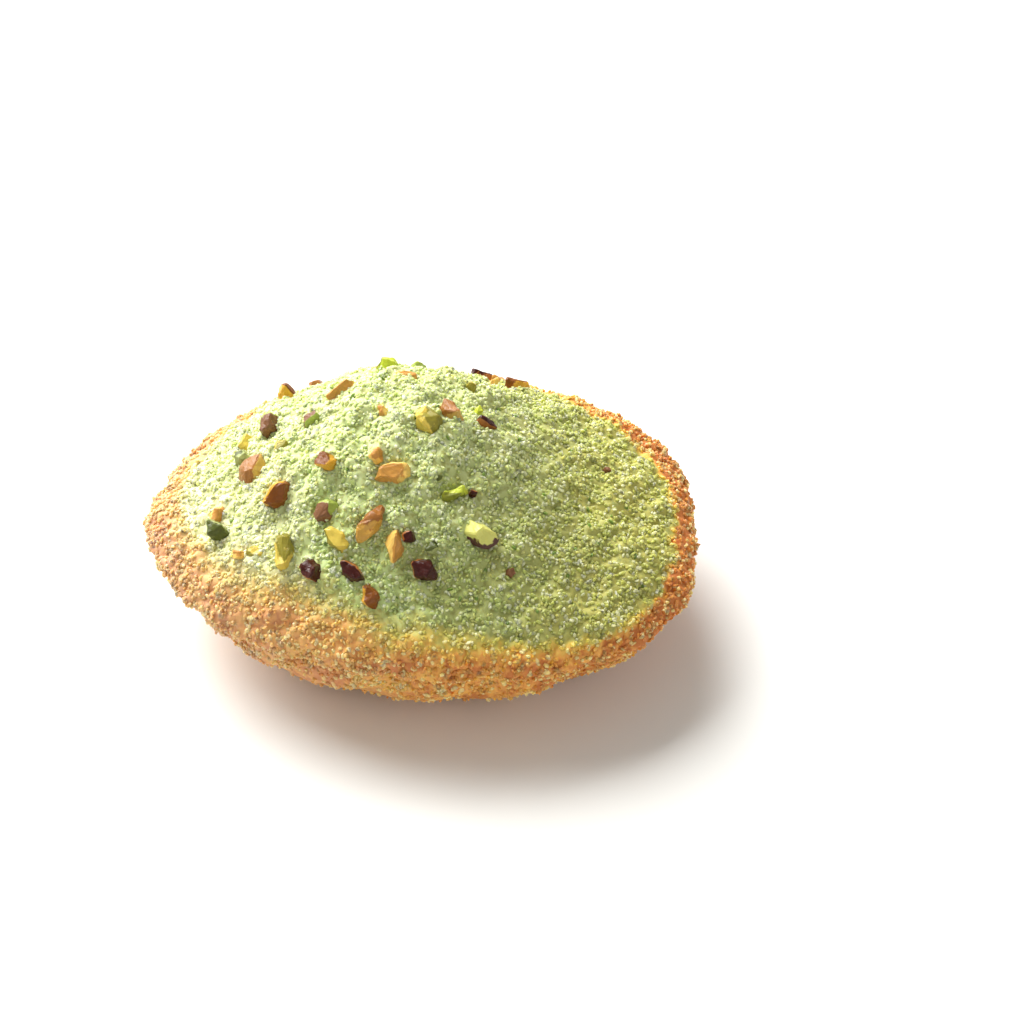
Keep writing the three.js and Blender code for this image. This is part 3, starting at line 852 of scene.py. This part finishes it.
def between(low, high, a, b):
    """A repeatable number between two others."""
    return low + (high - low) * float(chance(a, b))


def far_nuts():
    """The nuts on the far side of the hump, each in its own strip."""
    low, high = FAR_ALONG
    for k in range(FAR_NUTS):
        x = low + (high - low) * (k + float(chance(k, FAR_SEED["along"]))) / FAR_NUTS
        yield [
            FAR_KINDS[k],
            x,
            float(half_width(x / LENGTH + 0.5)) * between(*FAR_OUT, k, FAR_SEED["out"]),
            between(*FAR_LENGTH, k, FAR_SEED["length"]),
            between(*FAR_WIDTH, k, FAR_SEED["width"]),
            180 * float(chance(k, FAR_SEED["turn"])),
            between(*FAR_HEIGHT, k, FAR_SEED["height"]),
        ]


def crown_at(x, y):
    """The crown's height at a place on the plan."""
    return float(crown_height(x, y, reach(x, y)))


def crown_normal(x, y):
    """Which way the crown faces at a place on the plan."""
    slope_x = (crown_at(x + SLOPE_STEP, y) - crown_at(x - SLOPE_STEP, y)) / (2 * SLOPE_STEP)
    slope_y = (crown_at(x, y + SLOPE_STEP) - crown_at(x, y - SLOPE_STEP)) / (2 * SLOPE_STEP)
    return Vector((-slope_x, -slope_y, 1)).normalized()


def nut_corners(k, length, width, height):
    """The corners of a broken nut: an uneven foot sunk in the crumb and a smaller uneven top."""
    for level in range(2):
        for corner in range(NUT_CORNERS):
            seed = level * NUT_CORNERS + corner
            turned = TAU * (corner + NUT_TWIST * float(chance(k, seed))) / NUT_CORNERS
            spread = NUT_SPREAD * (1 - NUT_UNEVEN * float(chance(k, seed + NUT_SEED["spread"])))
            size = spread * (NUT_TOP if level else 1)
            top = NUT_LIFT + height * (1 - NUT_TOP_DROP * float(chance(k, seed + NUT_SEED["top"])))
            yield Vector((
                length / 2 * size * math.cos(turned),
                width / 2 * size * math.sin(turned),
                top if level else -NUT_SINK,
            ))


def nut_mesh(k, up, x, y, length, width, turned, height):
    """One broken nut: a block with softened edges and faintly wavy faces."""
    block = bmesh.new()
    for corner in nut_corners(k, length, width, height):
        block.verts.new(corner)
    bmesh.ops.convex_hull(block, input=block.verts)
    bmesh.ops.dissolve_limit(block, angle_limit=NUT_FLAT, verts=block.verts, edges=block.edges)
    bmesh.ops.bevel(
        block, geom=block.edges[:], offset=NUT_EDGE * min(width, height + NUT_SINK), segments=1,
        profile=0.5, affect="EDGES",
    )
    bmesh.ops.triangulate(block, faces=block.faces)
    bmesh.ops.subdivide_edges(block, edges=block.edges, cuts=2, use_grid_fill=True)
    block.normal_update()
    for vertex in block.verts:
        wave = noise.noise(vertex.co * NUT_WAVES + Vector((k, 0, 0)))
        chip = noise.noise(vertex.co * NUT_CHIPS_RATIO * NUT_WAVES + Vector((0, k, 0)))
        vertex.co += vertex.normal * NUT_ROUGH * (wave + NUT_CHIPS_SHARE * chip)
    tilt_y = Matrix.Rotation(between(-NUT_TILT, NUT_TILT, k, NUT_SEED["tilt_y"]), 4, "Y")
    tilt_x = Matrix.Rotation(between(-NUT_TILT, NUT_TILT, k, NUT_SEED["tilt_x"]), 4, "X")
    upright = Vector((0, 0, 1)).rotation_difference(crown_normal(x, y)).to_matrix().to_4x4()
    stand = Matrix.Translation((x, y, crown_at(x, y))) @ upright
    facing = NUT_SKIN_TURN * k + NUT_SKIN_FIRST
    skin_way = Vector((math.cos(facing), math.sin(facing), up)).normalized()
    skin = [vertex.normal.dot(skin_way) for vertex in block.verts]
    spin = Matrix.Rotation(math.radians(turned), 4, "Z")
    block.transform(Matrix.Scale(mm, 4) @ stand @ spin @ tilt_y @ tilt_x)
    block.normal_update()
    return block, skin


def darker(colour, share):
    """A colour with only a share of its light."""
    return tuple(part * share for part in colour[:3]) + (1,)


def nut_finish(name, skin, cut, covered):
    """Papery skin on one side and waxy cut faces on the others, with a ragged edge between them."""
    finish = Finish(name)
    grain = finish.noise(0.7 * mm, detail=4.0)
    edge = SKIN_EDGE - SKIN_EDGE_PER_SHARE * covered
    raised = finish.math("MULTIPLY_ADD", grain, SKIN_GRAIN, finish.attribute("skin"))
    skinned = finish.rising(raised, edge, edge + SKIN_EDGE_WIDTH)
    deep = finish.mix(grain, darker(skin, SKIN_DARKEST), skin)
    light = finish.mix(grain, darker(cut, CUT_DARKEST), cut)
    own = finish.mix(skinned, light, deep)
    finish.set(finish.shader.inputs["Base Color"], own)
    finish.shader.inputs["Roughness"].default_value = 0.32
    finish.shader.inputs["Specular IOR Level"].default_value = 0.3
    finish.soften(weight=0.15, scale=0.5 * mm, radius=(1.0, 0.7, 0.3))
    finish.bump(finish.noise(0.3 * mm, detail=3.0), distance=0.08 * mm, strength=0.7)
    return finish.material


nuts_by_kind = {kind: ([], [], []) for kind in NUT_KINDS}
for k, (kind, *sizes) in enumerate([*NUTS, *far_nuts()]):
    block, skin = nut_mesh(k, NUT_KINDS[kind]["up"], *sizes)
    corners, polygons, skins = nuts_by_kind[kind]
    first = len(corners)
    corners.extend(tuple(vertex.co) for vertex in block.verts)
    polygons.extend([first + vertex.index for vertex in face.verts] for face in block.faces)
    skins.extend(skin)
    block.free()

for kind, (corners, polygons, skins) in nuts_by_kind.items():
    nuts = mesh_object("nuts_" + kind, corners, polygons)
    paint_points(nuts, "skin", skins)
    look = NUT_KINDS[kind]
    nuts.data.materials.append(nut_finish("nut_" + kind, look["skin"], look["cut"], look["covered"]))
    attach(nuts, "root")
    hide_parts("madeleine")

# The floor
# A plain pale tabletop that the cake stands on, smooth and faintly uneven in tint. It isn't part of
# the cake.
FLOOR_SIZE = 4.0
FLOOR_TINTS = (rgb(234, 234, 230), rgb(238, 238, 234))
FLOOR_TINT_SIZE = 0.3


def floor_finish():
    """Smooth off-white paint, a little uneven in tint."""
    finish = Finish("tabletop")
    tint = finish.mix(finish.noise(FLOOR_TINT_SIZE), *FLOOR_TINTS)
    finish.set(finish.shader.inputs["Base Color"], tint)
    finish.shader.inputs["Roughness"].default_value = 0.6
    return finish.material


half = FLOOR_SIZE / 2
floor_corners = [(-half, -half, 0), (half, -half, 0), (half, half, 0), (-half, half, 0)]
floor = mesh_object("floor", floor_corners, [(0, 1, 2, 3)])
floor.data.materials.append(floor_finish())

# The light
# One large soft light from the left and behind, as a window gives, a weak one from the right and in
# front, and a pale room all round.
ROOM_COLOUR = (1.0, 0.97, 0.91, 1)
ROOM_STRENGTH = 0.4


def area_light(name, place, size, power):
    """A square soft light that faces the cake."""
    data = bpy.data.lights.new(name, "AREA")
    data.size = size
    data.energy = power
    lamp = bpy.data.objects.new(name, data)
    lamp.location = place
    lamp.rotation_euler = (AIM_AT - Vector(place)).to_track_quat("-Z", "Y").to_euler()
    bpy.context.scene.collection.objects.link(lamp)


area_light("window", place=(-0.52, 0.68, 0.74), size=1.0, power=34.0)
area_light("room_fill", place=(0.5, -0.8, 0.7), size=0.9, power=2.2)
world = bpy.data.worlds.new("room")
world.use_nodes = True
room = world.node_tree.nodes["Background"]
room.inputs["Color"].default_value = ROOM_COLOUR
room.inputs["Strength"].default_value = ROOM_STRENGTH
bpy.context.scene.world = world
bpy.context.scene.view_settings.view_transform = "Standard"
